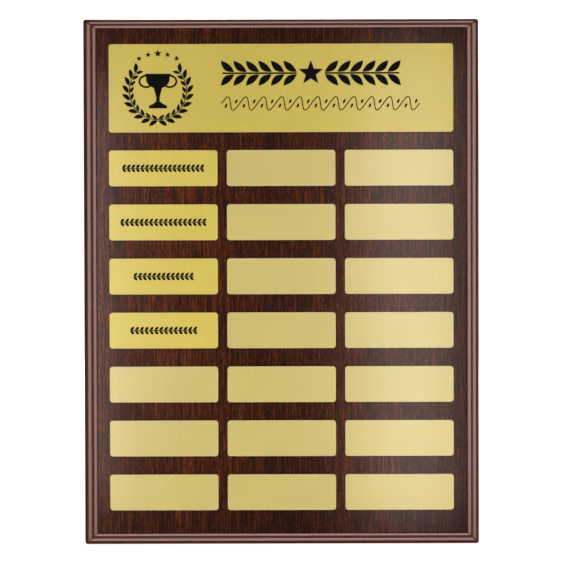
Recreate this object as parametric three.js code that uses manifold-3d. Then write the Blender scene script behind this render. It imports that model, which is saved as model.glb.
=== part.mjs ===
// A perpetual award plaque: a veneered board with a shaped edge, a header plate and three
// columns of name plates in brushed brass, and a keyhole hanger let into the back.
//
// Sizes are in millimetres. X runs along the width, Z up the height, and the front faces -Y.
// The origin is the centre of the back face, which lies at Y = 0.
//
// Every piece is drawn face up: x is the width, y the height, and z is the height above the
// back face. One group then stands the whole drawing upright.

import * as THREE from "three";
import { mergeVertices } from "three/addons/utils/BufferGeometryUtils.js";
import Module from "manifold-3d";

const wasm = await Module();
wasm.setup();

// Board: a core between a face veneer and a back laminate, with a glue line on each side.
const BOARD_WIDTH = 230.5;
const BOARD_HEIGHT = 306.5;
const BOARD_THICKNESS = 15;
const BOARD_CORNER_RADIUS = 1.5;
const VENEER_THICKNESS = 0.6;
const LAMINATE_THICKNESS = 0.4;
const GLUE_LINE = 0.05;

// Shaped edge, from the side inwards: an outer round, a step up, a bead that rises to the
// face, and a V-shaped quirk cut in the face beside the bead.
const ROUND_DROP = 4;
const STEP_RISE = 0.5;
const BEAD_RISE = 1.6;
const QUIRK_OFFSET = 0.55;
const QUIRK_WIDTH = 0.7;
const QUIRK_DEPTH = 0.35;
const ARC_SEGMENTS = 6;

// The shaper cuts one side at a time, so the widths of the outer round and the bead differ a
// little from side to side. The sides run anticlockwise, each ending where the next begins.
const LEFT_EDGE = { roundWidth: 4.85, beadWidth: 2.6 };
const BOTTOM_EDGE = { roundWidth: 4.25, beadWidth: 2.2 };
const RIGHT_EDGE = { roundWidth: 4.3, beadWidth: 2.6 };
const TOP_EDGE = { roundWidth: 3.35, beadWidth: 2.2 };
const SIDES = [
  { x: -BOARD_WIDTH / 2, y: 0, run: BOARD_HEIGHT, turn: 0, ...LEFT_EDGE },
  { x: 0, y: -BOARD_HEIGHT / 2, run: BOARD_WIDTH, turn: Math.PI / 2, ...BOTTOM_EDGE },
  { x: BOARD_WIDTH / 2, y: 0, run: BOARD_HEIGHT, turn: Math.PI, ...RIGHT_EDGE },
  { x: 0, y: BOARD_HEIGHT / 2, run: BOARD_WIDTH, turn: -Math.PI / 2, ...TOP_EDGE },
];

// Plates
const HEADER_WIDTH = 200;
const HEADER_HEIGHT = 51.2;
const HEADER_TOP_MARGIN = 15;
const NAME_WIDTH = 63;
const NAME_HEIGHT = 20.8;
const NAME_COLUMNS = 3;
const NAME_ROWS = 7;
const COLUMN_PITCH = 68.5;
const ROW_PITCH = 31.45;
const HEADER_TO_NAMES = 10.4;
const PLATE_THICKNESS = 0.5;
const PLATE_CORNER_RADIUS = 1.6;
const TAPE_THICKNESS = 0.15;
const TAPE_INSET = 1.5;

// Keyhole hanger. The wall screw's head goes in at the round entry, and the plaque then
// drops until the screw's shank reaches the top of the slot.
const HANGER_CENTRE_HEIGHT = 116;
const HANGER_WIDTH = 16;
const HANGER_LENGTH = 42;
const HANGER_CORNER_RADIUS = 7.5;
const HANGER_THICKNESS = 1.5;
const HANGER_RECESS = 0.3;
const HANGER_FIT = 0.4;
const ENTRY_RADIUS = 4.75;
const ENTRY_DROP = 4;
const SLOT_RADIUS = 2.4;
const SLOT_RISE = 6;
const POCKET_RADIUS = 6;
const POCKET_DEPTH = 9;

// Hanger screws
const SCREW_PITCH = 32;
const SCREW_HEAD_RADIUS = 2.9;
const SCREW_HEAD_DEPTH = 1.5;
const SCREW_RIM = 0.2;
const SCREW_SHANK_RADIUS = 1.4;
const SCREW_LENGTH = 11;
const SCREW_POINT = 2.5;
const SCREW_FIT = 0.3;
const SCREW_SEGMENTS = 24;

// How far a cutter reaches past what it cuts.
const CLEAR = 2;

const faceHeight = BOARD_THICKNESS;
const coreBottom = LAMINATE_THICKNESS + GLUE_LINE;
const veneerBottom = faceHeight - VENEER_THICKNESS;
const coreTop = veneerBottom - GLUE_LINE;
const tapeBottom = faceHeight + GLUE_LINE;
const plateBottom = tapeBottom + TAPE_THICKNESS + GLUE_LINE;
const hangerTop = HANGER_RECESS + HANGER_THICKNESS;

const finishes = {
  lacquer: { color: 0x4b241b, roughness: 0.35, metalness: 0 },
  veneer: { color: 0x4a231a, roughness: 0.4, metalness: 0 },
  laminate: { color: 0x3a2a24, roughness: 0.7, metalness: 0 },
  brass: { color: 0xd9c66a, roughness: 0.35, metalness: 1 },
  tape: { color: 0xe9e5da, roughness: 0.8, metalness: 0 },
  steel: { color: 0xb9bcc0, roughness: 0.4, metalness: 1 },
};

const upright = new THREE.Group();
upright.rotation.x = Math.PI / 2;

// Adds one piece of the plaque, moved to its place in the face-up drawing.
function addPiece(name, geometry, finish, x = 0, y = 0, z = 0) {
  const mesh = new THREE.Mesh(geometry, new THREE.MeshStandardMaterial(finishes[finish]));
  mesh.name = name;
  mesh.position.set(x, y, z);
  upright.add(mesh);
}

function solidFrom(geometry) {
  const bare = geometry.clone();
  bare.deleteAttribute("normal");
  bare.deleteAttribute("uv");
  const merged = mergeVertices(bare);
  return new wasm.Manifold(
    new wasm.Mesh({
      numProp: 3,
      vertProperties: merged.attributes.position.array,
      triVerts: new Uint32Array(merged.index.array),
    }),
  );
}

function geometryFrom(solid) {
  const mesh = solid.getMesh();
  const geometry = new THREE.BufferGeometry();
  geometry.setAttribute("position", new THREE.BufferAttribute(mesh.vertProperties, mesh.numProp));
  geometry.setIndex(new THREE.BufferAttribute(mesh.triVerts, 1));
  return geometry;
}

function subtractAll(geometry, cutters) {
  return geometryFrom(cutters.reduce((solid, cutter) => solid.subtract(cutter), solidFrom(geometry)));
}

function roundedRectangle(width, height, radius) {
  const x = width / 2 - radius;
  const y = height / 2 - radius;
  const outline = new THREE.Shape();
  outline.absarc(x, y, radius, 0, Math.PI / 2);
  outline.absarc(-x, y, radius, Math.PI / 2, Math.PI);
  outline.absarc(-x, -y, radius, Math.PI, 1.5 * Math.PI);
  outline.absarc(x, -y, radius, 1.5 * Math.PI, 2 * Math.PI);
  outline.closePath();
  return outline;
}

// An upright slot with round ends, between two heights of its end centres.
function slotOutline(radius, lowCentre, highCentre) {
  const outline = new THREE.Shape();
  outline.absarc(0, highCentre, radius, 0, Math.PI);
  outline.absarc(0, lowCentre, radius, Math.PI, 2 * Math.PI);
  outline.closePath();
  return outline;
}

function slab(outline, bottom, top, curveSegments = ARC_SEGMENTS) {
  const options = { depth: top - bottom, bevelEnabled: false, curveSegments };
  return new THREE.ExtrudeGeometry(outline, options).translate(0, 0, bottom);
}

// Section of the edge cutter: across is the distance in from the side of the board, and up
// is the height above the back face.
function edgeSection({ roundWidth, beadWidth }) {
  const beadFoot = faceHeight - BEAD_RISE;
  const roundFoot = beadFoot - STEP_RISE - ROUND_DROP;
  const beadCrest = roundWidth + beadWidth;
  const section = new THREE.Shape();
  section.moveTo(-CLEAR, roundFoot);
  section.lineTo(0, roundFoot);
  section.absellipse(roundWidth, roundFoot, roundWidth, ROUND_DROP, Math.PI, Math.PI / 2, true);
  section.lineTo(roundWidth, beadFoot);
  section.absellipse(beadCrest, beadFoot, beadWidth, BEAD_RISE, Math.PI, Math.PI / 2, true);
  section.lineTo(beadCrest, faceHeight + CLEAR);
  section.lineTo(-CLEAR, faceHeight + CLEAR);
  section.closePath();
  return section;
}

function quirkCentre(side) {
  return side.roundWidth + side.beadWidth + QUIRK_OFFSET;
}

function quirkSection(side) {
  const centre = quirkCentre(side);
  const section = new THREE.Shape();
  section.moveTo(centre - QUIRK_WIDTH / 2, faceHeight);
  section.lineTo(centre, faceHeight - QUIRK_DEPTH);
  section.lineTo(centre + QUIRK_WIDTH / 2, faceHeight);
  section.lineTo(centre + QUIRK_WIDTH / 2, faceHeight + CLEAR);
  section.lineTo(centre - QUIRK_WIDTH / 2, faceHeight + CLEAR);
  section.closePath();
  return section;
}

// A cutter run along one side of the board, its ends given from the middle of the side.
function runAlong(side, section, start, end) {
  const cutter = new THREE.ExtrudeGeometry(section, {
    depth: end - start,
    bevelEnabled: false,
    curveSegments: ARC_SEGMENTS,
  });
  cutter.translate(0, 0, start).rotateX(Math.PI / 2).rotateZ(side.turn).translate(side.x, side.y, 0);
  return solidFrom(cutter);
}

function edgeCutters() {
  return SIDES.map((side) => {
    const reach = side.run / 2 + CLEAR;
    return runAlong(side, edgeSection(side), -reach, reach);
  });
}

// The four quirks stop where they meet, so that they don't run out through the bead.
function quirkCutters() {
  return SIDES.map((side, i) => {
    const before = SIDES[(i + SIDES.length - 1) % SIDES.length];
    const after = SIDES[(i + 1) % SIDES.length];
    const start = -side.run / 2 + quirkCentre(before) - QUIRK_WIDTH / 2;
    const end = side.run / 2 - quirkCentre(after) + QUIRK_WIDTH / 2;
    return runAlong(side, quirkSection(side), start, end);
  });
}

// A countersunk screw with the flat of its head at height 0 and its point up. The hole for
// it is the same shape grown by the fit all round, and it starts below the head.
function screwGeometry(grow = 0, start = 0) {
  const profile = [
    new THREE.Vector2(0, start),
    new THREE.Vector2(SCREW_HEAD_RADIUS + grow, start),
    new THREE.Vector2(SCREW_HEAD_RADIUS + grow, SCREW_RIM + grow),
    new THREE.Vector2(SCREW_SHANK_RADIUS + grow, SCREW_HEAD_DEPTH + grow),
    new THREE.Vector2(SCREW_SHANK_RADIUS + grow, SCREW_LENGTH - SCREW_POINT),
    new THREE.Vector2(0, SCREW_LENGTH + grow),
  ];
  return new THREE.LatheGeometry(profile, SCREW_SEGMENTS).rotateX(Math.PI / 2);
}

const screwHeights = [HANGER_CENTRE_HEIGHT + SCREW_PITCH / 2, HANGER_CENTRE_HEIGHT - SCREW_PITCH / 2];

// The room that each screw needs, from behind the back face to past its point.
function screwHoles() {
  return screwHeights.map((height) =>
    solidFrom(screwGeometry(SCREW_FIT, -CLEAR).translate(0, height, HANGER_RECESS)),
  );
}

function hangerOutline(grow) {
  const width = HANGER_WIDTH + 2 * grow;
  const length = HANGER_LENGTH + 2 * grow;
  return roundedRectangle(width, length, HANGER_CORNER_RADIUS + grow);
}

function hangerRecess() {
  const recess = slab(hangerOutline(HANGER_FIT), -CLEAR, hangerTop + GLUE_LINE);
  return solidFrom(recess.translate(0, HANGER_CENTRE_HEIGHT, 0));
}

// The pocket behind the keyhole, where the wall screw's head travels.
function headPocket() {
  const outline = slotOutline(POCKET_RADIUS, -ENTRY_DROP, SLOT_RISE);
  const pocket = slab(outline, hangerTop, hangerTop + POCKET_DEPTH);
  return solidFrom(pocket.translate(0, HANGER_CENTRE_HEIGHT, 0));
}

// The round entry and the slot above it, as one hole.
function keyholeOutline() {
  const spread = Math.asin(SLOT_RADIUS / ENTRY_RADIUS);
  const hole = new THREE.Path();
  hole.absarc(0, SLOT_RISE, SLOT_RADIUS, 0, Math.PI);
  hole.absarc(0, -ENTRY_DROP, ENTRY_RADIUS, Math.PI / 2 + spread, 2.5 * Math.PI - spread);
  hole.closePath();
  return hole;
}

function addBoard() {
  const outline = roundedRectangle(BOARD_WIDTH, BOARD_HEIGHT, BOARD_CORNER_RADIUS);
  const edges = edgeCutters();
  const core = slab(outline, coreBottom, coreTop);
  const veneer = slab(outline, veneerBottom, faceHeight);
  const laminate = slab(outline, 0, LAMINATE_THICKNESS);
  const hangerCuts = [hangerRecess(), headPocket(), ...screwHoles()];
  addPiece("board_core", subtractAll(core, [...edges, ...hangerCuts]), "lacquer");
  addPiece("face_veneer", subtractAll(veneer, [...edges, ...quirkCutters()]), "veneer");
  addPiece("back_laminate", subtractAll(laminate, [hangerRecess()]), "laminate");
}

function addHanger() {
  const outline = hangerOutline(0);
  outline.holes.push(keyholeOutline());
  const plate = slab(outline, HANGER_RECESS, hangerTop, 2 * ARC_SEGMENTS);
  plate.translate(0, HANGER_CENTRE_HEIGHT, 0);
  addPiece("keyhole_hanger", subtractAll(plate, screwHoles()), "steel");
  ["hanger_screw_top", "hanger_screw_bottom"].forEach((name, i) => {
    addPiece(name, screwGeometry(), "steel", 0, screwHeights[i], HANGER_RECESS);
  });
}

// One brass plate and the tape pad that holds it to the board.
function addPlate(plateName, tapeName, width, height, x, y) {
  const plateOutline = roundedRectangle(width, height, PLATE_CORNER_RADIUS);
  const tapeWidth = width - 2 * TAPE_INSET;
  const tapeHeight = height - 2 * TAPE_INSET;
  const plate = slab(plateOutline, plateBottom, plateBottom + PLATE_THICKNESS);
  const tape = new THREE.BoxGeometry(tapeWidth, tapeHeight, TAPE_THICKNESS);
  addPiece(plateName, plate, "brass", x, y);
  addPiece(tapeName, tape, "tape", x, y, tapeBottom + TAPE_THICKNESS / 2);
}

function addPlates() {
  const headerY = BOARD_HEIGHT / 2 - HEADER_TOP_MARGIN - HEADER_HEIGHT / 2;
  const firstRowY = headerY - HEADER_HEIGHT / 2 - HEADER_TO_NAMES - NAME_HEIGHT / 2;
  addPlate("header_plate", "header_tape", HEADER_WIDTH, HEADER_HEIGHT, 0, headerY);
  for (let row = 0; row < NAME_ROWS; row += 1) {
    for (let column = 0; column < NAME_COLUMNS; column += 1) {
      const place = `r${row + 1}c${column + 1}`;
      const x = (column - (NAME_COLUMNS - 1) / 2) * COLUMN_PITCH;
      const y = firstRowY - row * ROW_PITCH;
      addPlate(`name_plate_${place}`, `name_tape_${place}`, NAME_WIDTH, NAME_HEIGHT, x, y);
    }
  }
}

addBoard();
addHanger();
addPlates();

const plaque = new THREE.Group();
plaque.add(upright);

export default plaque;
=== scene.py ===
import math
import random

import bmesh
import bpy
from mathutils import Matrix, Vector
from mathutils.geometry import tessellate_polygon


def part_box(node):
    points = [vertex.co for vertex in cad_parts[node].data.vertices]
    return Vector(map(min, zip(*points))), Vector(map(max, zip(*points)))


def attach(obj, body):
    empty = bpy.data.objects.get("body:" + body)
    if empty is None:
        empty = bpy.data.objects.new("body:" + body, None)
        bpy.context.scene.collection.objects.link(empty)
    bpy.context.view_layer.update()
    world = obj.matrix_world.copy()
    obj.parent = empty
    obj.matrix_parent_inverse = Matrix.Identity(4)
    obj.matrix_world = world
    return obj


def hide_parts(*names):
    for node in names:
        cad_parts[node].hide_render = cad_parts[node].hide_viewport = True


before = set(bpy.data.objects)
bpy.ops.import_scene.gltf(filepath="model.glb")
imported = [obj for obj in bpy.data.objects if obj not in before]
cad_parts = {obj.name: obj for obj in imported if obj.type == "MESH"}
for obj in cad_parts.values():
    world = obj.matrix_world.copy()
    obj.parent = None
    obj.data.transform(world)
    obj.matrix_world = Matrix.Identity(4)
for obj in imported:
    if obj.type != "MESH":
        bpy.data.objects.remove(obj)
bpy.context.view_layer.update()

MM = 0.001


class Extent:
    """A CAD node's box in millimetres, its depth given as heights above the plaque's back."""

    def __init__(self, node):
        low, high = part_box(node)
        self.left, self.right = low.x / MM, high.x / MM
        self.bottom, self.top = low.z / MM, high.z / MM
        self.back, self.front = -high.y / MM, -low.y / MM

    @property
    def middle(self):
        return (self.left + self.right) / 2, (self.bottom + self.top) / 2


core = Extent("board_core")
veneer = Extent("face_veneer")
laminate = Extent("back_laminate")
hanger = Extent("keyhole_hanger")
header = Extent("header_plate")

# The object's sizes are in millimetres. A lead is a short straight beside a curve, which keeps
# smooth shading from bending past it.

# Shaped edge, from the side inwards: an outer round, a step and a bead. A leanness above 1
# draws the bead in from a quarter ellipse, so that it is steeper at its crest.
ROUND_DROP = 4.0
STEP_RISE = 0.5
BEAD_WIDTHS = {"left": 2.6, "right": 2.6, "bottom": 2.2, "top": 2.2}
BEAD_RISE = 1.6
BEAD_LEANNESS = 1.6
OUTER_CORNER = 1.5
INNER_CORNER = 0.45
BOARD_LEAD = 0.6
SIDE_LEAD = 0.3

# Face veneer and the quirk cut in it, placed inwards from the crest of the bead
VENEER_GAP = 0.02
VENEER_ARRIS = 0.04
VENEER_CORNER = 0.8 * INNER_CORNER
QUIRK_START = 0.2
QUIRK_WIDTH = 0.7
QUIRK_DEPTH = 0.35
QUIRK_LIP_WIDTH = 0.08
QUIRK_LIP_DEPTH = 0.05

# Backing sheet: its eased arris as (inset, share of its thickness), and the ease of its opening
LAMINATE_ARRIS = ((0.35, 0.0), (0.14, 0.06), (0.02, 0.2), (0.0, 1.0))
LAMINATE_EASE = 0.1

# Plates
PLATE_CORNER = 1.6
PLATE_BEVEL = 0.14
PLATE_LEAD = 0.4
ENAMEL_SUNK = 0.05
ENAMEL_PROUD = 0.02

# Keyhole hanger: its outer arris as shares of the bevel (inset, depth), and the arris of its
# keyhole as (how much wider, depth)
GLUE_LINE = 0.05
HANGER_FIT = 0.4
HANGER_CORNER = 7.5
HANGER_BEVEL = 0.25
HANGER_ARRIS = ((1.0, 0.0), (0.3, 0.3), (0.0, 1.0))
KEY_ARRIS = ((0.2, 0.0), (0.05, 0.08), (0.0, 0.25))
ENTRY_RADIUS = 4.75
ENTRY_DROP = 4.0
SLOT_RADIUS = 2.4
SLOT_RISE = 6.0
POCKET_RADIUS = 6.0
POCKET_DEPTH = 9.0

# Screws: the arris of the head as (inset, depth), and the cross recess as (reach of each arm,
# half its width, depth). The thread stops short of the tip by a number of pitches.
SCREW_HEAD_RADIUS = 2.9
SCREW_HEAD_DEPTH = 1.5
SCREW_HEAD_ARRIS = ((0.12, 0.0), (0.0, 0.08), (0.0, 0.2))
SCREW_CROSS = ((1.7, 0.36, 0.0), (1.5, 0.3, 0.25), (0.55, 0.22, 1.2))
SCREW_SHANK_RADIUS = 1.4
SCREW_ROOT_RADIUS = 1.1
SCREW_TIP_RADIUS = 0.12
SCREW_TIP_LENGTH = 0.1
THREAD_PITCH = 1.0
POINT_PITCHES = 2.5

# Screw holes: how much wider they are than the screw, the straight rim of each countersink,
# and how much wider its narrow end is than that
SCREW_FIT = 0.3
SINK_RIM = 0.3
SINK_SPARE = 0.35


# ---- outlines -------------------------------------------------------------------------------


def on_circle(x, z, radius, angle):
    """The point of a circle at an angle in degrees, anticlockwise from the right."""
    a = math.radians(angle)
    return x + radius * math.cos(a), z + radius * math.sin(a)


def arc(x, z, radius, start, end, steps):
    """Points of an arc, both ends included, its angles in degrees."""
    angles = [start + (end - start) * i / steps for i in range(steps + 1)]
    return [on_circle(x, z, radius, angle) for angle in angles]


def rounded_rectangle(left, right, bottom, top, radius, steps=6, lead=0.0):
    """Anticlockwise outline. A lead adds a point on the straight at that distance from each
    corner, which keeps smooth shading from bending along the whole side."""
    corners = [(right, top, -1, -1), (left, top, 1, -1), (left, bottom, 1, 1), (right, bottom, -1, 1)]
    outline = []
    for turn, (x, z, inward_x, inward_z) in enumerate(corners):
        start = 90 * turn
        points = arc(x + inward_x * radius, z + inward_z * radius, radius, start, start + 90, steps)
        if lead:
            along = Vector((math.cos(math.radians(start)), math.sin(math.radians(start))))
            before = Vector(points[0]) - lead * Vector((-along.y, along.x))
            after = Vector(points[-1]) - lead * along
            points = [tuple(before), *points, tuple(after)]
        outline += points
    return outline


def circle(x, z, radius, steps=32):
    return arc(x, z, radius, 0, 360, steps)[:-1]


def slot_outline(x, low, high, radius, steps=16):
    """An upright slot with round ends, between two end centres."""
    return arc(x, high, radius, 0, 180, steps) + arc(x, low, radius, 180, 360, steps)


def keyhole_outline(x, z, grow=0.0):
    """The round entry with a slot above it."""
    entry, slot = ENTRY_RADIUS + grow, SLOT_RADIUS + grow
    spread = math.degrees(math.asin(slot / entry))
    round_entry = arc(x, z - ENTRY_DROP, entry, 90 + spread, 450 - spread, 32)
    return arc(x, z + SLOT_RISE, slot, 0, 180, 16) + round_entry


# ---- meshes ---------------------------------------------------------------------------------


class Shell:
    """Rings of points, walls between them and flat caps, gathered into one closed mesh. Each
    face is kept as (its points, whether it is smooth, its material's number)."""

    def __init__(self):
        self.points = []
        self.faces = []

    def ring(self, outline, height):
        """An outline in millimetres at a height above the plaque's back, as point numbers."""
        first = len(self.points)
        self.points += [(x * MM, -height * MM, z * MM) for x, z in outline]
        return list(range(first, len(self.points)))

    def wall(self, low, high, material=0):
        """Smooth faces between two rings that have the same number of points."""
        for i, here in enumerate(low):
            after = (i + 1) % len(low)
            self.faces.append(((here, low[after], high[after], high[i]), True, material))

    def walls(self, rings, material=0):
        for low, high in zip(rings, rings[1:]):
            self.wall(low, high, material)

    def cap(self, outer, holes=(), material=0):
        """Flat faces that fill a ring, apart from the holes in it."""
        loops = [outer, *holes]
        flat = [i for loop in loops for i in loop]
        lines = [[Vector((self.points[i][0], self.points[i][2], 0)) for i in loop] for loop in loops]
        for triangle in tessellate_polygon(lines):
            self.faces.append((tuple(flat[i] for i in triangle), False, material))

    def slab(self, outline, back, front):
        """A plain flat piece between two heights."""
        rings = [self.ring(outline, back), self.ring(outline, front)]
        self.walls(rings)
        self.cap(rings[0])
        self.cap(rings[1])

    def build(self, name, finishes, replaces=(), sharp=32, tone=None):
        """Make the piece, with creases at the angle given and a tone that its finish can read."""
        mesh = bpy.data.meshes.new(name)
        mesh.from_pydata(self.points, [], [face[0] for face in self.faces])
        turn_outwards(mesh)
        mesh.set_sharp_from_angle(angle=math.radians(sharp))
        for polygon, (_, smooth, material) in zip(mesh.polygons, self.faces):
            polygon.use_smooth = smooth
            polygon.material_index = material
        lay_uv(mesh)
        if tone is not None:
            attribute = mesh.attributes.new("tone", "FLOAT", "POINT")
            attribute.data.foreach_set("value", [tone] * len(mesh.vertices))
        for finish in finishes:
            mesh.materials.append(finish)
        piece = bpy.data.objects.new(name, mesh)
        bpy.context.scene.collection.objects.link(piece)
        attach(piece, "root")
        if replaces:
            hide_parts(*replaces)
        return piece


def turn_outwards(mesh):
    """Make every face point out of the closed mesh."""
    edit = bmesh.new()
    edit.from_mesh(mesh)
    bmesh.ops.recalc_face_normals(edit, faces=edit.faces)
    edit.to_mesh(mesh)
    edit.free()


def lay_uv(mesh):
    """UVs that follow x and z, so that the shader's tangent runs across the plaque."""
    layer = mesh.uv_layers.new(name="across")
    for loop in mesh.loops:
        x, _, z = mesh.vertices[loop.vertex_index].co
        layer.data[loop.index].uv = (x, z)


# ---- materials ------------------------------------------------------------------------------


def srgb(red, green, blue):
    """A linear RGBA colour from 8-bit sRGB values."""
    def linear(value):
        share = value / 255
        return share / 12.92 if share <= 0.04045 else ((share + 0.055) / 1.055) ** 2.4
    return linear(red), linear(green), linear(blue), 1.0


# Socket numbers of a Mix node that mixes colours
MIX_SHARE, MIX_FIRST, MIX_SECOND, MIX_RESULT = 0, 6, 7, 2


class Finish:
    """A material under construction, with a Principled shader at its end."""

    def __init__(self, name, **constants):
        self.material = bpy.data.materials.new(name)
        self.material.use_nodes = True
        self.tree = self.material.node_tree
        self.shader = self.tree.nodes["Principled BSDF"]
        self.place = self.node("TexCoord").outputs["Object"]
        for socket, value in constants.items():
            self.shader.inputs[socket.replace("_", " ")].default_value = value

    def plug(self, socket, value):
        """Link a node's output to the socket, or set a plain value on it."""
        if isinstance(value, bpy.types.NodeSocket):
            self.tree.links.new(value, socket)
        else:
            socket.default_value = value

    def node(self, kind, inputs=None, **settings):
        node = self.tree.nodes.new("ShaderNode" + kind)
        for key, value in settings.items():
            setattr(node, key, value)
        for key, value in (inputs or {}).items():
            self.plug(node.inputs[key], value)
        return node

    def sized(self, x, y, z, place=None, shift=0.0):
        """Coordinates in which one unit spans x, y and z millimetres. A shift keeps one
        pattern from lining up with another."""
        inputs = {
            "Vector": place or self.place,
            "Scale": (1 / (x * MM), 1 / (y * MM), 1 / (z * MM)),
            "Location": (shift, shift, shift),
        }
        return self.node("Mapping", inputs).outputs["Vector"]

    def noise(self, vector, detail=2.0, roughness=0.5):
        inputs = {"Vector": vector, "Scale": 1.0, "Detail": detail, "Roughness": roughness}
        return self.node("TexNoise", inputs).outputs["Fac"]

    def cells(self, vector):
        return self.node("TexVoronoi", {"Vector": vector, "Scale": 1.0}).outputs["Distance"]

    def spread(self, value, low, high, to_low=0.0, to_high=1.0, smooth=True):
        """value mapped from low..high to to_low..to_high, and clamped there."""
        kind = "SMOOTHSTEP" if smooth else "LINEAR"
        inputs = {
            "Value": value,
            "From Min": low,
            "From Max": high,
            "To Min": to_low,
            "To Max": to_high,
        }
        return self.node("MapRange", inputs, interpolation_type=kind).outputs["Result"]

    def maths(self, operation, first, second):
        node = self.node("Math", operation=operation)
        self.plug(node.inputs[0], first)
        self.plug(node.inputs[1], second)
        return node.outputs[0]

    def mixed(self, share, first, second, blend="MIX"):
        node = self.node("Mix", data_type="RGBA", blend_type=blend)
        self.plug(node.inputs[MIX_SHARE], share)
        self.plug(node.inputs[MIX_FIRST], first)
        self.plug(node.inputs[MIX_SECOND], second)
        return node.outputs[MIX_RESULT]

    def ramp(self, value, *stops):
        """A colour for each position, blended between them."""
        node = self.node("ValToRGB", {"Fac": value})
        elements = node.color_ramp.elements
        while len(elements) < len(stops):
            elements.new(1.0)
        for element, (position, colour) in zip(elements, stops):
            element.position = position
            element.color = colour
        return node.outputs["Color"]

    def scaled(self, colour, value):
        """A colour multiplied by a number that varies over the surface."""
        node = self.node("VectorMath", operation="SCALE")
        self.plug(node.inputs[0], colour)
        self.plug(node.inputs["Scale"], value)
        return node.outputs["Vector"]

    def bump(self, height, depth, strength):
        """Relief of a depth in millimetres."""
        inputs = {"Height": height, "Distance": depth * MM, "Strength": strength}
        return self.node("Bump", inputs).outputs["Normal"]

    def finish(self, **sockets):
        """The finished material, with these values plugged into its shader."""
        for socket, value in sockets.items():
            self.plug(self.shader.inputs[socket.replace("_", " ")], value)
        return self.material


# Painted sheen and shade in the veneer's colour: how light the veneer is at shares of the way across it,
# which paints the lamps' sheen down its left and right, and at two distances in metres above
# or below its middle, which paints it lighter in the middle and darker towards its top and bottom.
VENEER_SHEEN_BANDS = ((0.04, 0.88), (0.25, 0.84), (0.5, 0.48), (0.72, 0.82), (0.82, 0.76), (0.96, 0.54))
VENEER_MIDDLE, VENEER_END = 0.1, 0.15
PAINTED_MIDDLE_LIGHT, PAINTED_END_SHADE = 1.35, 0.9


def veneer_finish():
    """Stained mahogany veneer, its grain upright, under a semi-gloss varnish, with painted sheen and
    shade in its colour.
    """
    wood = Finish(
        "mahogany_veneer",
        Specular_IOR_Level=0.03,
        Coat_Weight=1.0,
        Coat_Roughness=0.115,
        Coat_IOR=1.5,
    )
    axes = wood.node("SeparateXYZ", {"Vector": wood.place})
    sway = wood.noise(wood.sized(35, 35, 120), detail=1.0)
    swayed = wood.maths("MULTIPLY", wood.maths("SUBTRACT", sway, 0.5), 3 * MM)
    shifted_x = wood.maths("ADD", axes.outputs["X"], swayed)
    inputs = {"X": shifted_x, "Y": axes.outputs["Y"], "Z": axes.outputs["Z"]}
    grain = wood.node("CombineXYZ", inputs).outputs["Vector"]

    figure = wood.noise(wood.sized(6, 40, 150, grain), detail=3.0)
    streak = wood.noise(wood.sized(1.1, 8, 20, grain, shift=3.1), detail=3.0, roughness=0.6)
    fibre = wood.noise(wood.sized(0.38, 3, 3, grain, shift=7.7), detail=2.0, roughness=0.6)
    pore = wood.noise(wood.sized(0.5, 1, 3.4, grain, shift=11.3), detail=1.0)
    pores = wood.spread(pore, 0.60, 0.72)

    tone = wood.maths("ADD", wood.maths("MULTIPLY", streak, 0.5), wood.maths("MULTIPLY", fibre, 0.5))
    colour = wood.ramp(
        tone,
        (0.35, srgb(36, 13, 6)),
        (0.50, srgb(51, 20, 8)),
        (0.66, srgb(108, 50, 18)),
    )
    colour = wood.scaled(colour, wood.spread(figure, 0.3, 0.7, 0.8, 1.2))
    # Painted sheen: bands across the face, lighter where the lamps' sheen falls down its left and right,
    # darker in the middle and at the right edge.
    across = wood.spread(axes.outputs["X"], core.left * MM, core.right * MM, smooth=False)
    painted_sheen = wood.ramp(across, *[(place, (level, level, level, 1.0)) for place, level in VENEER_SHEEN_BANDS])
    colour = wood.mixed(1.0, colour, painted_sheen, blend="MULTIPLY")
    # Painted light and shade: the face is lighter in its middle and darker towards its top and bottom
    # ends.
    height = wood.maths("ABSOLUTE", axes.outputs["Z"], 0.0)
    painted_falloff = wood.spread(height, VENEER_MIDDLE, VENEER_END, PAINTED_MIDDLE_LIGHT, PAINTED_END_SHADE)
    colour = wood.scaled(colour, painted_falloff)
    colour = wood.mixed(wood.maths("MULTIPLY", pores, 0.55), colour, srgb(22, 10, 8))
    relief = wood.bump(wood.maths("SUBTRACT", fibre, pores), 0.012, 0.6)
    return wood.finish(
        Base_Color=colour,
        Roughness=wood.spread(fibre, 0.3, 0.7, 0.42, 0.55),
        Normal=relief,
        Coat_Normal=wood.bump(wood.maths("SUBTRACT", streak, pores), 0.006, 0.5),
    )


def lacquer_finish():
    """Plain brown lacquer, sprayed over the shaped edge."""
    lacquer = Finish(
        "brown_lacquer",
        Specular_IOR_Level=0.5,
        Specular_Tint=(1.0, 0.4, 0.25, 1.0),
        Coat_Weight=1.0,
        Coat_Roughness=0.16,
        Coat_IOR=1.5,
    )
    cloud = lacquer.noise(lacquer.sized(7, 7, 7), detail=3.0)
    speck = lacquer.noise(lacquer.sized(0.7, 0.7, 0.7, shift=5.2), detail=2.0)
    colour = lacquer.ramp(
        cloud,
        (0.30, srgb(66, 24, 12)),
        (0.50, srgb(73, 27, 14)),
        (0.70, srgb(80, 31, 17)),
    )
    colour = lacquer.scaled(colour, lacquer.spread(speck, 0.3, 0.7, 0.92, 1.08))
    peel = lacquer.noise(lacquer.sized(1.6, 1.6, 1.6, shift=1.7), detail=1.0)
    return lacquer.finish(
        Base_Color=colour,
        Roughness=lacquer.spread(cloud, 0.3, 0.7, 0.34, 0.44),
        Normal=lacquer.bump(speck, 0.004, 0.5),
        Coat_Normal=lacquer.bump(peel, 0.01, 0.6),
    )


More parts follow.
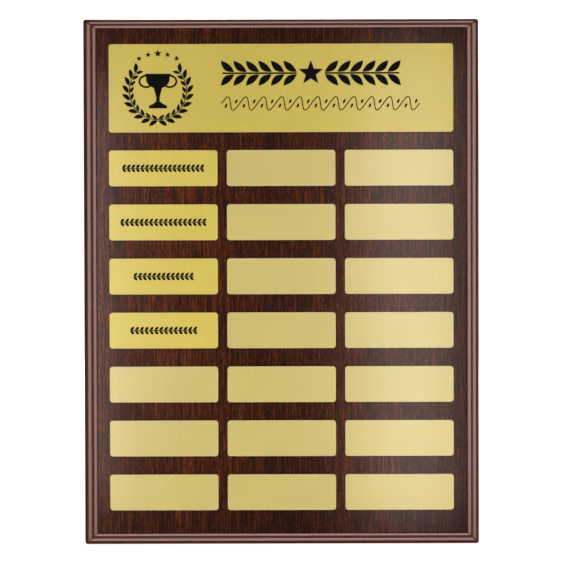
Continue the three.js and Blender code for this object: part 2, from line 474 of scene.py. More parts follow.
def brass_finish(name, colour, haze):
    """Brushed brass sheet under a clear coat, its brush lines upright."""
    brass = Finish(
        name,
        Metallic=1.0,
        Anisotropic=0.35,
        Coat_Weight=haze,
        Coat_Roughness=0.15,
        Coat_IOR=2.3,
    )
    tone = brass.node("Attribute", attribute_name="tone").outputs["Fac"]
    line = brass.noise(brass.sized(0.16, 5, 30), detail=2.0)
    band = brass.noise(brass.sized(0.9, 5, 60, shift=4.4), detail=2.0)
    cloud = brass.noise(brass.sized(26, 26, 26, shift=9.1), detail=2.0)
    brushed = brass.maths("ADD", brass.maths("MULTIPLY", line, 0.5), brass.maths("MULTIPLY", band, 0.5))
    shade = brass.maths("MULTIPLY", brass.spread(brushed, 0.35, 0.65, 0.98, 1.02), tone)
    shade = brass.maths("MULTIPLY", shade, brass.spread(cloud, 0.3, 0.7, 0.985, 1.015))
    tangent = brass.node("Tangent", direction_type="UV_MAP", uv_map="across").outputs["Tangent"]
    return brass.finish(
        Base_Color=brass.scaled(colour, shade),
        Roughness=brass.spread(brushed, 0.3, 0.7, 0.46, 0.50),
        Normal=brass.bump(brushed, 0.002, 0.4),
        Tangent=tangent,
    )


def enamel_finish():
    """Black enamel rubbed into the engraving."""
    enamel = Finish("black_enamel", Specular_IOR_Level=0.05)
    cloud = enamel.noise(enamel.sized(3, 3, 3), detail=3.0)
    grit = enamel.noise(enamel.sized(0.3, 0.3, 0.3, shift=2.9), detail=1.0)
    return enamel.finish(
        Base_Color=enamel.ramp(cloud, (0.3, srgb(4, 4, 3)), (0.7, srgb(14, 13, 10))),
        Roughness=enamel.spread(grit, 0.3, 0.7, 0.42, 0.6),
        Normal=enamel.bump(grit, 0.004, 0.6),
    )


def steel_finish(name, light, dark):
    """Zinc-plated steel with a faint spangle and handling scratches."""
    steel = Finish(name, Metallic=1.0)
    spangle = steel.cells(steel.sized(2.6, 2.6, 2.6))
    cloud = steel.noise(steel.sized(5, 5, 5), detail=3.0)
    scratch = steel.noise(steel.sized(0.25, 0.25, 9, shift=6.3), detail=2.0)
    share = steel.maths("MULTIPLY", spangle, cloud)
    colour = steel.mixed(steel.spread(share, 0.1, 0.5), light, dark)
    return steel.finish(
        Base_Color=colour,
        Roughness=steel.spread(scratch, 0.3, 0.7, 0.28, 0.5),
        Normal=steel.bump(scratch, 0.006, 0.5),
    )


def laminate_finish():
    """Dark brown backing paper with a faint printed grain and a pebbled surface."""
    paper = Finish("backing_laminate", Specular_IOR_Level=0.35)
    grain = paper.noise(paper.sized(1.4, 5, 30), detail=4.0, roughness=0.6)
    cloud = paper.noise(paper.sized(30, 30, 60, shift=2.2), detail=2.0)
    pebble = paper.cells(paper.sized(0.8, 0.8, 0.8))
    colour = paper.ramp(
        grain,
        (0.32, srgb(58, 36, 27)),
        (0.52, srgb(78, 50, 38)),
        (0.70, srgb(98, 66, 51)),
    )
    return paper.finish(
        Base_Color=paper.scaled(colour, paper.spread(cloud, 0.3, 0.7, 0.88, 1.1)),
        Roughness=paper.spread(pebble, 0.1, 0.7, 0.5, 0.68),
        Normal=paper.bump(pebble, 0.03, 0.5),
    )


def fibreboard_finish():
    """Raw fibreboard, where the recess for the hanger is cut."""
    board = Finish("raw_fibreboard", Specular_IOR_Level=0.2)
    fleck = board.noise(board.sized(0.5, 0.5, 0.5), detail=4.0, roughness=0.7)
    fuzz = board.noise(board.sized(0.2, 0.2, 0.2, shift=8.1), detail=2.0)
    colour = board.ramp(
        fleck,
        (0.30, srgb(96, 66, 42)),
        (0.50, srgb(142, 106, 72)),
        (0.70, srgb(176, 140, 101)),
    )
    return board.finish(
        Base_Color=colour,
        Roughness=board.spread(fuzz, 0.3, 0.7, 0.8, 0.95),
        Normal=board.bump(fuzz, 0.05, 0.7),
    )


def tape_finish():
    """White foam mounting tape."""
    tape = Finish("foam_tape", Specular_IOR_Level=0.25)
    cell = tape.cells(tape.sized(0.3, 0.3, 0.3))
    cloud = tape.noise(tape.sized(6, 6, 6), detail=2.0)
    colour = tape.mixed(tape.spread(cloud, 0.3, 0.7), srgb(214, 208, 194), srgb(232, 228, 217))
    return tape.finish(
        Base_Color=tape.scaled(colour, tape.spread(cell, 0.0, 0.6, 0.9, 1.0)),
        Roughness=tape.spread(cell, 0.0, 0.6, 0.75, 0.9),
        Normal=tape.bump(cell, 0.04, 0.6),
    )


veneer_material = veneer_finish()
lacquer = lacquer_finish()
printed_brass = brass_finish("printed_brass", (0.74, 0.59, 0.12), 0.65)
blank_brass = brass_finish("blank_brass", (0.72, 0.592, 0.197), 1.0)
enamel = enamel_finish()
zinc = steel_finish("zinc_plate", srgb(205, 208, 212), srgb(158, 163, 170))
screw_zinc = steel_finish("screw_zinc", srgb(214, 212, 200), srgb(176, 172, 156))
backing = laminate_finish()
fibreboard = fibreboard_finish()
foam = tape_finish()


# ---- board ----------------------------------------------------------------------------------


def round_widths():
    """How wide the outer round is on each side, found from where the CAD veneer's foot lies."""
    bead_foot = veneer.front - BEAD_RISE
    foot_angle = math.asin((veneer.back - bead_foot) / BEAD_RISE)
    insets = {
        "left": veneer.left - core.left,
        "right": core.right - veneer.right,
        "bottom": veneer.bottom - core.bottom,
        "top": core.top - veneer.top,
    }
    foot_share = 1 - math.cos(foot_angle)
    return {side: inset - BEAD_WIDTHS[side] * foot_share for side, inset in insets.items()}


ROUND_WIDTHS = round_widths()


def board_outline(round_share, bead_share, extra, radius):
    """The board's outline moved inwards on each side by shares of that side's outer round and
    bead, and by an extra that is the same on every side."""
    inset = {
        side: round_share * ROUND_WIDTHS[side] + bead_share * BEAD_WIDTHS[side] + extra
        for side in ROUND_WIDTHS
    }
    return rounded_rectangle(
        core.left + inset["left"],
        core.right - inset["right"],
        core.bottom + inset["bottom"],
        core.top - inset["top"],
        radius,
        lead=BOARD_LEAD,
    )


def edge_levels(steps=12):
    """The shaped edge as (share of the round, share of the bead, height, corner radius)."""
    bead_foot = veneer.front - BEAD_RISE
    round_top = bead_foot - STEP_RISE
    round_foot = round_top - ROUND_DROP
    levels = [(0.0, 0.0, core.back, OUTER_CORNER), (0.0, 0.0, round_foot - SIDE_LEAD, OUTER_CORNER)]
    for i in range(steps + 1):
        angle = math.pi / 2 * i / steps
        share = 1 - math.cos(angle)
        radius = OUTER_CORNER + (INNER_CORNER - OUTER_CORNER) * share
        levels.append((share, 0.0, round_foot + ROUND_DROP * math.sin(angle), radius))
    for i in range(steps + 1):
        angle = math.pi / 2 * i / steps
        share = 1 - math.cos(angle) ** BEAD_LEANNESS
        levels.append((1.0, share, bead_foot + BEAD_RISE * math.sin(angle), INNER_CORNER))
    return levels


def hanger_outline(grow):
    """The hanger plate's outline, moved outwards by grow."""
    sides = (hanger.left - grow, hanger.right + grow, hanger.bottom - grow, hanger.top + grow)
    return rounded_rectangle(*sides, HANGER_CORNER + grow, steps=16)


SCREWS = ("hanger_screw_top", "hanger_screw_bottom")
SCREW_CENTRES = [Extent(name).middle for name in SCREWS]


def add_board():
    """The core, with a recess for the hanger, a pocket for the wall screw's head and two
    screw holes."""
    shell = Shell()
    rings = [
        shell.ring(board_outline(round_share, bead_share, 0.0, radius), height)
        for round_share, bead_share, height, radius in edge_levels()
    ]
    crest = board_outline(1.0, 1.0, 0.0, INNER_CORNER)
    rings.append(shell.ring(crest, core.front))
    shell.walls(rings)
    shell.cap(rings[-1])

    centre_x, centre_z = hanger.middle
    floor = hanger.front + GLUE_LINE
    mouth = shell.ring(hanger_outline(HANGER_FIT), core.back)
    recess = shell.ring(hanger_outline(HANGER_FIT), floor)
    shell.cap(rings[0], [mouth])
    shell.wall(mouth, recess, 1)

    pocket = slot_outline(centre_x, centre_z - ENTRY_DROP, centre_z + SLOT_RISE, POCKET_RADIUS)
    openings = [[shell.ring(pocket, floor), shell.ring(pocket, floor + POCKET_DEPTH)]]
    for screw_x, screw_z in SCREW_CENTRES:
        hole = circle(screw_x, screw_z, SCREW_SHANK_RADIUS + SCREW_FIT)
        openings.append([shell.ring(hole, floor), shell.ring(hole, floor + POCKET_DEPTH)])
    shell.cap(recess, [opening[0] for opening in openings], 1)
    for opening in openings:
        shell.walls(opening, 1)
        shell.cap(opening[1], material=1)
    shell.build("shaped_board", [lacquer, fibreboard], ["board_core"])


def add_veneer():
    """The face sheet, with the quirk cut round it beside the bead."""
    middle = QUIRK_START + QUIRK_WIDTH / 2
    end = QUIRK_START + QUIRK_WIDTH
    lip = veneer.front - QUIRK_LIP_DEPTH
    bottom = veneer.front - QUIRK_DEPTH
    levels = [
        (VENEER_GAP, veneer.back),
        (VENEER_GAP, veneer.front - VENEER_ARRIS),
        (VENEER_GAP + VENEER_ARRIS, veneer.front),
        (QUIRK_START, veneer.front),
        (QUIRK_START + QUIRK_LIP_WIDTH, lip),
        (middle - QUIRK_LIP_WIDTH, bottom + QUIRK_LIP_DEPTH),
        (middle, bottom),
        (middle + QUIRK_LIP_WIDTH, bottom + QUIRK_LIP_DEPTH),
        (end - QUIRK_LIP_WIDTH, lip),
        (end, veneer.front),
    ]
    shell = Shell()
    rings = [
        shell.ring(board_outline(1.0, 1.0, inwards, VENEER_CORNER), height)
        for inwards, height in levels
    ]
    shell.walls(rings)
    shell.cap(rings[0])
    shell.cap(rings[-1])
    shell.build("veneer_sheet", [veneer_material], ["face_veneer"])


def add_laminate():
    """The backing sheet, its outer arris eased and an opening cut for the hanger."""
    shell = Shell()
    depth = laminate.front - laminate.back
    rings = [
        shell.ring(board_outline(0.0, 0.0, inset, OUTER_CORNER), laminate.back + share * depth)
        for inset, share in LAMINATE_ARRIS
    ]
    opening = [
        shell.ring(hanger_outline(HANGER_FIT + LAMINATE_EASE), laminate.back),
        shell.ring(hanger_outline(HANGER_FIT), laminate.back + LAMINATE_EASE),
        shell.ring(hanger_outline(HANGER_FIT), laminate.front),
    ]
    shell.walls(rings)
    shell.walls(opening)
    shell.cap(rings[0], [opening[0]])
    shell.cap(rings[-1], [opening[-1]])
    shell.build("backing_sheet", [backing], ["back_laminate"])


# ---- hanger ---------------------------------------------------------------------------------


def add_hanger():
    """The keyhole plate, with two countersunk holes for its screws."""
    shell = Shell()
    x, z = hanger.middle
    back, front = hanger.back, hanger.front
    outer_levels = [(-inset * HANGER_BEVEL, back + depth * HANGER_BEVEL) for inset, depth in HANGER_ARRIS]
    outer_levels.append((0.0, front))
    outer = [shell.ring(hanger_outline(grow), height) for grow, height in outer_levels]
    key_levels = [(grow, back + depth) for grow, depth in KEY_ARRIS] + [(0.0, front)]
    key = [shell.ring(keyhole_outline(x, z, grow), height) for grow, height in key_levels]
    sinks = []
    for screw_x, screw_z in SCREW_CENTRES:
        levels = [
            (SCREW_HEAD_RADIUS + SCREW_FIT, back),
            (SCREW_HEAD_RADIUS + SCREW_FIT, back + SINK_RIM),
            (SCREW_SHANK_RADIUS + SCREW_FIT + SINK_SPARE, front),
        ]
        holes = [(circle(screw_x, screw_z, radius), height) for radius, height in levels]
        sinks.append([shell.ring(hole, height) for hole, height in holes])
    for rings in (outer, key, *sinks):
        shell.walls(rings)
    shell.cap(outer[0], [key[0], *[sink[0] for sink in sinks]])
    shell.cap(outer[-1], [key[-1], *[sink[-1] for sink in sinks]])
    shell.build("hanger_plate", [zinc], ["keyhole_hanger"])


def cross_outline(x, z, reach, half):
    """A plus sign, its arms half wide on each side of their middle lines."""
    outline = []
    for turn in range(4):
        c, s = math.cos(turn * math.pi / 2), math.sin(turn * math.pi / 2)
        for along, across in ((reach, -half), (reach, half), (half, half)):
            outline.append((x + along * c - across * s, z + along * s + across * c))
    return outline


def add_screw(node):
    """A countersunk screw with a cross recess in its head and a thread on its shank."""
    box = Extent(node)
    x, z = box.middle
    shell = Shell()
    levels = [(SCREW_HEAD_RADIUS - inset, box.back + depth) for inset, depth in SCREW_HEAD_ARRIS]
    levels.append((SCREW_SHANK_RADIUS, box.back + SCREW_HEAD_DEPTH))
    height = box.back + SCREW_HEAD_DEPTH + THREAD_PITCH
    while height < box.front - POINT_PITCHES * THREAD_PITCH:
        levels.append((SCREW_ROOT_RADIUS, height - THREAD_PITCH / 2))
        levels.append((SCREW_SHANK_RADIUS, height))
        height += THREAD_PITCH
    levels.append((SCREW_ROOT_RADIUS, height - THREAD_PITCH / 2))
    levels.append((SCREW_TIP_RADIUS, box.front - SCREW_TIP_LENGTH))
    rings = [shell.ring(circle(x, z, radius, 36), level) for radius, level in levels]
    recess = [
        shell.ring(cross_outline(x, z, reach, half), box.back + depth)
        for reach, half, depth in SCREW_CROSS
    ]
    shell.walls(rings)
    shell.walls(recess)
    shell.cap(rings[0], [recess[0]])
    shell.cap(recess[-1])
    shell.cap(rings[-1])
    shell.build(node + "_fine", [screw_zinc], [node])


# ---- plates ---------------------------------------------------------------------------------


def add_plate(node, finish, tone):
    """A sheet-brass plate with a small rounded arris at the front."""
    box = Extent(node)
    depth = box.front - box.back
    shell = Shell()
    levels = [(0.0, box.back), (0.0, box.back + depth - PLATE_BEVEL)]
    for angle in (30, 60, 90):
        inset = PLATE_BEVEL * (1 - math.cos(math.radians(angle)))
        levels.append((inset, box.front - PLATE_BEVEL * (1 - math.sin(math.radians(angle)))))
    rings = []
    for inset, height in levels:
        edges = (box.left + inset, box.right - inset, box.bottom + inset, box.top - inset)
        outline = rounded_rectangle(*edges, PLATE_CORNER - inset, lead=PLATE_LEAD)
        rings.append(shell.ring(outline, height))
    shell.walls(rings)
    shell.cap(rings[0])
    shell.cap(rings[-1])
    shell.build(node + "_brushed", [finish], [node], tone=tone)


# ---- engraving ------------------------------------------------------------------------------


def leaf(x, z, angle, length, width, bow=0.0, steps=8, sharpness=0.9):
    """A pointed leaf that grows from (x, z), its angle in degrees and its midrib bowed. A
    higher sharpness makes it slimmer at both ends."""
    turn = math.radians(angle)
    sides = [[], []]
    for i in range(steps + 1):
        share = i / steps
        swell = math.sin(math.pi * share) ** sharpness if 0 < i < steps else 0.0
        middle = bow * length * math.sin(math.pi * share)
        for side, sign in zip(sides, (-1, 1)):
            along, across = length * share, middle + sign * width / 2 * swell
            side.append((
                x + along * math.cos(turn) - across * math.sin(turn),
                z + along * math.sin(turn) + across * math.cos(turn),
            ))
    return sides[0] + sides[1][-2:0:-1]


def star(x, z, radius, points=5, waist=0.42):
    """A star with one point up, its inner corners at a share of its radius."""
    outline = []
    for i in range(2 * points):
        reach = radius if i % 2 == 0 else radius * waist
        angle = math.pi / 2 + math.pi * i / points
        outline.append((x + reach * math.cos(angle), z + reach * math.sin(angle)))
    return outline


def band(centreline, width):
    """A strip of constant width along a line of points."""
    left, right = [], []
    for i, (x, z) in enumerate(centreline):
        before = centreline[max(i - 1, 0)]
        after = centreline[min(i + 1, len(centreline) - 1)]
        along = Vector((after[0] - before[0], after[1] - before[1])).normalized()
        left.append((x - along.y * width / 2, z + along.x * width / 2))
        right.append((x + along.y * width / 2, z - along.x * width / 2))
    return right + left[::-1]


# Wreath: each branch by its start and end angle, and each leaf by its length and width. The
# first pair of leaves is a share of a pitch along the branch.
WREATH_RADIUS = 16.6
WREATH_BRANCHES = ((262, 404), (278, 136))
WREATH_PAIRS = 10
WREATH_FIRST = 0.6
WREATH_STEM = 0.6
WREATH_LEAF = (5.9, 2.5)
WREATH_LEAN = 32
WREATH_BOW = 0.08
WREATH_GAP = 0.3
INNER_LEAF_SHARE = 0.72


def laurel_branch(x, z, start, end):
    """A branch along an arc about (x, z): a stem with leaves on both sides, smaller inside."""
    outlines = [band(arc(x, z, WREATH_RADIUS, start, end, 32), WREATH_STEM)]
    way = 1 if end > start else -1
    for i in range(WREATH_PAIRS):
        angle = start + (end - start) * (i + WREATH_FIRST) / WREATH_PAIRS
        heading = angle + 90 * way
        for side, share in ((-1, INNER_LEAF_SHARE), (1, 1.0)):
            foot = on_circle(x, z, WREATH_RADIUS + side * (WREATH_STEM / 2 + WREATH_GAP), angle)
            lean = heading - WREATH_LEAN * side * way
            length, width = (share * size for size in WREATH_LEAF)
            outlines.append(leaf(*foot, lean, length, width, bow=WREATH_BOW * side * way))
    return outlines


def cup(x, z, height):
    """A two-handled trophy cup that stands at (x, z), drawn in shares of its height."""
    foot_and_stem = [(0.27, 0.0), (0.27, 0.08), (0.17, 0.12), (0.055, 0.2), (0.05, 0.33)]
    bowl = [(across, up * 0.9 + 0.08) for across, up in arc(0.05, 0.88, 0.30, 285, 360, 8)]
    rim = [(0.35, 0.97), (0.38, 0.98), (0.38, 1.03)]
    handle = [(0.35 + 0.2 * across, 0.8 + 0.17 * up) for across, up in arc(0, 0, 1, -125, 95, 16)]
    handle_width = 0.06
    right = [(x + across * height, z + up * height) for across, up in foot_and_stem + bowl + rim]
    left = [(2 * x - across, up) for across, up in reversed(right)]
    outlines = [right + left]
    for side in (-1, 1):
        line = [(x + side * across * height, z + up * height) for across, up in handle]
        outlines.append(band(line, handle_width * height))
    return outlines


# Emblem: the cup's foot below its middle, and the arch of stars by the angle and size of each
CUP_DROP = 10.0
CUP_HEIGHT = 19.5
STAR_ARCH = 21.8
STARS = ((60, 1.8), (75, 1.8), (90, 2.4), (105, 1.8), (120, 1.8))


def emblem(x, z):
    """A laurel wreath round a trophy cup, with an arch of stars over them."""
    outlines = []
    for start, end in WREATH_BRANCHES:
        outlines += laurel_branch(x, z, start, end)
    outlines += cup(x, z - CUP_DROP, CUP_HEIGHT)
    for angle, radius in STARS:
        outlines.append(star(*on_circle(x, z, STAR_ARCH, angle), radius))
    return outlines


# Leaves in pairs on a straight stem. A leaf's bow turns its tip out to a steeper angle.
PAIR_LEAN = 40
PAIR_TIP = 45
PAIR_BOW = 0.06


def pair_length(height, stem):
    """How long a leaf is that leans out to half the height of its branch."""
    return (height / 2 - stem) / math.sin(math.radians(PAIR_TIP))


def leaf_pairs(feet, z, way, offset, length, width):
    """Leaves above and below a stem that runs to the right, or to the left if way is -1."""
    outlines = []
    for foot in feet:
        for side in (-1, 1):
            angle = 90 - 90 * way + side * way * PAIR_LEAN
            bow = -PAIR_BOW * side * way
            outlines.append(leaf(foot, z + side * offset, angle, length, width, bow))
    return outlines


# Garland and sprig, as shares of their height: the star, where the branches start, a leaf's
# width and the stem. A pitch is in leaf widths, an end is the share of a leaf's length that
# the last pair keeps from the end, and a gap and the stem's trim are in millimetres.
GARLAND_STAR, GARLAND_START = 0.46, 0.5
GARLAND_LEAF, GARLAND_STEM = 0.25, 0.06
GARLAND_PITCH, GARLAND_END = 1.62, 0.78
GARLAND_GAP, GARLAND_TRIM = 0.25, 1.0
SPRIG_LEAF, SPRIG_STEM = 0.3, 0.1
SPRIG_PITCH, SPRIG_END = 1.66, 0.8
SPRIG_GAP = 0.1


def garland(x, z, span, height):
    """Two straight branches of bold leaves that point away from a star."""
    outlines = [star(x, z, height * GARLAND_STAR)]
    width, stem, first = height * GARLAND_LEAF, height * GARLAND_STEM, height * GARLAND_START
    length = pair_length(height, stem)
    run = span / 2 - first - length * GARLAND_END
    pairs = int(run / (width * GARLAND_PITCH)) + 1
    for way in (-1, 1):
        feet = [x + way * (first + run / (pairs - 1) * i) for i in range(pairs)]
        ends = (first, span / 2 - GARLAND_TRIM)
        outlines.append(band([(x + way * end, z) for end in ends], stem))
        outlines += leaf_pairs(feet, z, way, stem / 2 + GARLAND_GAP, length, width)
    return outlines


def sprig(x, z, span, height):
    """A straight sprig of small leaves."""
    width, stem = height * SPRIG_LEAF, height * SPRIG_STEM
    length = pair_length(height, stem)
    run = span - length * SPRIG_END
    pairs = round(run / (width * SPRIG_PITCH))
    feet = [x - span / 2 + run / (pairs - 1) * i for i in range(pairs)]
    outlines = [band([(x - span / 2, z), (x + span / 2, z)], stem)]
    return outlines + leaf_pairs(feet, z, 1, stem / 2 + SPRIG_GAP, length, width)


# Vine: its waves, and its leaves by lean, length and width as shares of a wave, and place as
# a share of the wave's reach
VINE_WAVES = 11
VINE_SLANT = 0.3
VINE_LEAF_LEAN = 62
VINE_LEAF_LENGTH, VINE_LEAF_WIDTH = 0.3, 0.12
VINE_LEAF_PLACE = 0.32
STEPS_PER_WAVE = 20


def vine(x, z, span, height, line):
    """A slanted, wavy stem with a small leaf in each of its hollows."""
    pitch = span / VINE_WAVES
    reach = (height - line) / 2

    def slanted(along, rise):
        return x - span / 2 + along + VINE_SLANT * rise, z + rise

    count = STEPS_PER_WAVE * VINE_WAVES
    places = [span * i / count for i in range(count + 1)]
    stem = [slanted(along, reach * math.sin(2 * math.pi * along / pitch)) for along in places]
    outlines = [band(stem, line)]
    length, width = VINE_LEAF_LENGTH * pitch, VINE_LEAF_WIDTH * pitch
    for i in range(2 * VINE_WAVES):
        middle = (-VINE_LEAF_PLACE if i % 2 == 0 else VINE_LEAF_PLACE) * reach
        foot = middle - length / 2 * math.sin(math.radians(VINE_LEAF_LEAN))
        place = slanted((i + 0.5) * pitch / 2, foot)
        outlines.append(leaf(*place, VINE_LEAF_LEAN, length, width))
    return outlines


def engrave(name, plate, outlines):
    """One piece of black enamel, set a little into the plate and standing a little proud."""
    shell = Shell()
    for outline in outlines:
        shell.slab(outline, plate.front - ENAMEL_SUNK, plate.front + ENAMEL_PROUD)
    shell.build(name, [enamel])


# ---- assembly -------------------------------------------------------------------------------

NAME_ROWS = range(1, 8)
NAME_COLUMNS = range(1, 4)
HEADER_TONE = 0.93
NAME_TONES = (0.985, 1.015)
TONE_SEED = 7

# Ornaments on the header: middle in from its left edge and down from its top, then size. The
# emblem's drop is from the header's middle.
EMBLEM_IN, EMBLEM_DROP = 28.6, 1.6
GARLAND_IN, GARLAND_DROP = 117.4, 17.0
GARLAND_SPAN, GARLAND_HEIGHT = 104.8, 16.3
VINE_IN, VINE_DROP = 123.0, 34.6
VINE_SPAN, VINE_HEIGHT, VINE_LINE = 115.0, 8.4, 0.6

# Sprigs on the name plates of the first column: how long each row's is, and their height
SPRIG_SPANS = {1: 47.7, 2: 50.0, 3: 35.0, 4: 39.0}
SPRIG_HEIGHT = 5.2


def add_plates():
    """All the plates, each name plate in a slightly different tone."""
    draw = random.Random(TONE_SEED)
    add_plate("header_plate", printed_brass, HEADER_TONE)
    for row in NAME_ROWS:
        for column in NAME_COLUMNS:
            printed = column == 1 and row in SPRIG_SPANS
            finish = printed_brass if printed else blank_brass
            tone = draw.uniform(*NAME_TONES)
            add_plate(f"name_plate_r{row}c{column}", finish, tone)


def add_engraving():
    """Plain ornaments on the header and on the upper name plates of the first column."""
    left, top = header.left, header.top
    _, middle = header.middle
    wreath = emblem(left + EMBLEM_IN, middle - EMBLEM_DROP)
    leaves = garland(left + GARLAND_IN, top - GARLAND_DROP, GARLAND_SPAN, GARLAND_HEIGHT)
    wave = vine(left + VINE_IN, top - VINE_DROP, VINE_SPAN, VINE_HEIGHT, VINE_LINE)
    engrave("header_emblem", header, wreath)
    engrave("header_garland", header, leaves)
    engrave("header_vine", header, wave)
    for row, span in SPRIG_SPANS.items():
        plate = Extent(f"name_plate_r{row}c1")
        engrave(f"name_sprig_r{row}", plate, sprig(*plate.middle, span, SPRIG_HEIGHT))


def paint_tapes():
    """Give the tape pads, which are carried over from the CAD model, their foam."""
    for name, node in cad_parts.items():
        if "tape" in name:
            node.data.materials.clear()
            node.data.materials.append(foam)


add_board()
add_veneer()
add_laminate()
add_hanger()
for screw in SCREWS:
    add_screw(screw)
add_plates()
add_engraving()
paint_tapes()


# ---- studio ---------------------------------------------------------------------------------

# Lengths in the studio are in metres and angles in degrees, but the lens and the sensor are in
# millimetres.
CAMERA_DISTANCE = 1.4
CAMERA_LENS = 153.95
CAMERA_SENSOR = 36.0
CAMERA_AZIMUTH = 0.155
CAMERA_ELEVATION = 1.0
CAMERA_ROLL = -0.16
CAMERA_TARGET = Vector((0.00005, -header.front * MM, 0.00025))


def add_camera():
    """A long lens almost square to the plaque, a little above it and very slightly rolled."""
    azimuth, elevation, roll = map(math.radians, (CAMERA_AZIMUTH, CAMERA_ELEVATION, CAMERA_ROLL))
    forward = Vector((
        -math.sin(azimuth) * math.cos(elevation),
        math.cos(azimuth) * math.cos(elevation),
        -math.sin(elevation),
    ))
    level = forward.cross(Vector((0, 0, 1))).normalized()
    upright = level.cross(forward)
    right = level * math.cos(roll) + upright * math.sin(roll)
    up = upright * math.cos(roll) - level * math.sin(roll)
    camera = bpy.data.objects.new("camera", bpy.data.cameras.new("camera"))
    camera.data.sensor_width = CAMERA_SENSOR
    camera.data.lens = CAMERA_LENS
    camera.matrix_world = Matrix.Translation(CAMERA_TARGET - forward * CAMERA_DISTANCE) @ (
        Matrix((right, up, -forward)).transposed().to_4x4()
    )
    bpy.context.scene.collection.objects.link(camera)
    bpy.context.scene.camera = camera


def add_panel(name, place, aim, width, height, radiance, tint=(1.0, 1.0, 1.0)):
    """A soft rectangular light that the camera doesn't see."""
    data = bpy.data.lights.new(name, "AREA")
    data.shape = "RECTANGLE"
    data.size, data.size_y = width, height
    data.energy = radiance * math.pi * width * height
    data.color = tint
    light = bpy.data.objects.new(name, data)
    light.location = place
    light.rotation_mode = "QUATERNION"
    light.rotation_quaternion = (Vector(aim) - Vector(place)).to_track_quat("-Z", "Y")
    light.visible_camera = False
    bpy.context.scene.collection.objects.link(light)


def around(azimuth, elevation, distance):
    """A place at that bearing and elevation from the middle of the plaque's back."""
    a, e = math.radians(azimuth), math.radians(elevation)
    return distance * Vector((math.sin(a) * math.cos(e), -math.cos(a) * math.cos(e), math.sin(e)))


# Each large panel lies to one side of the camera's line and spans a range of angles from it:
# side in x, side in z, nearest and farthest angle, spread across that, and radiance.
PANEL_DISTANCE = 2.0
PANELS = {
    "left": (-1, 0, 22, 58, 22, 3.85),
    "right": (1, 0, 22, 66, 22, 4.0),
    "top": (0, 1, 32, 68, 26, 3.9),
    "bottom": (0, -1, 30, 62, 26, 4.6),
}

# Two upright, slightly warm strips beside the camera leave a soft sheen down the left and
# right of the face: place in x, low end, high end, and radiance.
STRIP_DISTANCE = 1.35
STRIP_WIDTH = 0.09
STRIP_TINT = (1.0, 0.93, 0.89)
STRIPS = {
    "right": (0.144, -0.30, 0.24, 2.1),
    "left": (-0.258, -0.27, 0.20, 3.4),
}

# Square fill panels that keep the plates and the back bright from other sides: azimuth,
# elevation, size and radiance.
FILLS = {
    "low_left": (-46, -27, 1.2, 1.3),
    "low_right": (46, -27, 1.2, 0.8),
    "back_high": (165, 26, 1.4, 4.0),
    "back_low": (132, -14, 1.2, 0.7),
}


def add_lights():
    """The panels, the strips and the fills."""
    centre = (0, 0, 0)
    for name, (turn_x, turn_z, near, far, spread, radiance) in PANELS.items():
        middle = (near + far) / 2
        reach = 2 * PANEL_DISTANCE * math.tan(math.radians((far - near) / 2))
        breadth = 2 * PANEL_DISTANCE * math.tan(math.radians(spread / 2))
        width, height = (reach, breadth) if turn_x else (breadth, reach)
        place = around(turn_x * middle, turn_z * middle, PANEL_DISTANCE)
        add_panel(name + "_panel", place, centre, width, height, radiance)
    for name, (across, low, high, radiance) in STRIPS.items():
        place = Vector((across, -STRIP_DISTANCE, (low + high) / 2))
        aim = place + Vector((0, 1, 0))
        add_panel(name + "_strip", place, aim, STRIP_WIDTH, high - low, radiance, STRIP_TINT)
    for name, (azimuth, elevation, size, radiance) in FILLS.items():
        place = around(azimuth, elevation, PANEL_DISTANCE)
        add_panel(name + "_fill", place, centre, size, size, radiance)


# How bright the world is as a light, and where the camera sees it
WORLD_LIGHT, WORLD_SEEN = 0.03, 1.2


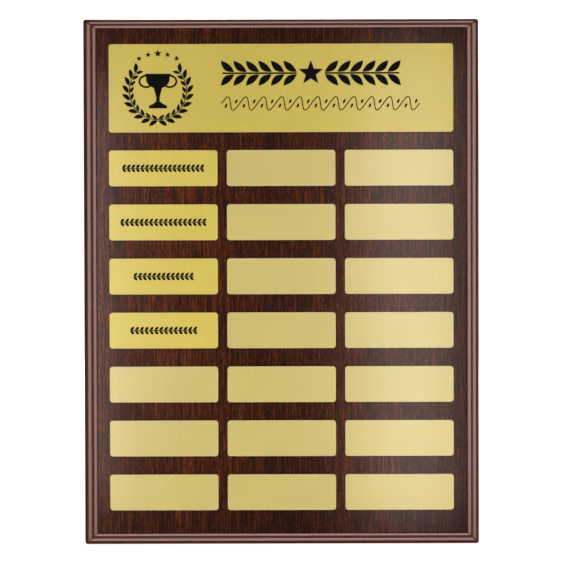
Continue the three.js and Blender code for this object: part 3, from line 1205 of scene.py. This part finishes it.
def add_world():
    """White where the camera sees it, and dim for the light and reflections it gives."""
    world = bpy.data.worlds.new("studio")
    world.use_nodes = True
    nodes, links = world.node_tree.nodes, world.node_tree.links
    background = nodes["Background"]
    background.inputs["Color"].default_value = (1, 1, 1, 1)
    path = nodes.new("ShaderNodeLightPath")
    strength = nodes.new("ShaderNodeMapRange")
    strength.inputs["To Min"].default_value = WORLD_LIGHT
    strength.inputs["To Max"].default_value = WORLD_SEEN
    links.new(path.outputs["Is Camera Ray"], strength.inputs["Value"])
    links.new(strength.outputs["Result"], background.inputs["Strength"])
    bpy.context.scene.world = world


# Floor: its reach, its gap below the plaque, and its glow as (near, far, glow there, and there)
FLOOR_REACH = 3.0
FLOOR_GAP = 0.0002
FLOOR_GLOW = (0.25, 0.7, 0.8, 1.1)


def add_floor():
    """A pale shooting table. Light reaches the plaque through it from below, and it glows
    just enough to look white."""
    level = core.bottom * MM - FLOOR_GAP
    turns = ((-1, -1), (1, -1), (1, 1), (-1, 1))
    corners = [(x * FLOOR_REACH, y * FLOOR_REACH, level) for x, y in turns]
    mesh = bpy.data.meshes.new("floor")
    mesh.from_pydata(corners, [], [(0, 1, 2, 3)])
    pale = Finish("pale_floor", Specular_IOR_Level=0.0, Roughness=0.9)
    pale.shader.inputs["Emission Color"].default_value = (1, 1, 1, 1)
    path = pale.node("LightPath").outputs["Is Camera Ray"]
    cloud = pale.noise(pale.sized(300, 300, 300), detail=2.0)
    colour = pale.mixed(cloud, srgb(222, 221, 218), srgb(228, 227, 225))
    distance = pale.node("VectorMath", {0: pale.place}, operation="LENGTH").outputs["Value"]
    glow = pale.spread(distance, *FLOOR_GLOW)
    strength = pale.maths("MULTIPLY", path, glow)
    mesh.materials.append(pale.finish(Base_Color=colour, Emission_Strength=strength))
    floor = bpy.data.objects.new("floor", mesh)
    floor.visible_glossy = False
    floor.visible_shadow = False
    bpy.context.scene.collection.objects.link(floor)


add_camera()
add_lights()
add_world()
add_floor()
bpy.context.scene.view_settings.view_transform = "Standard"
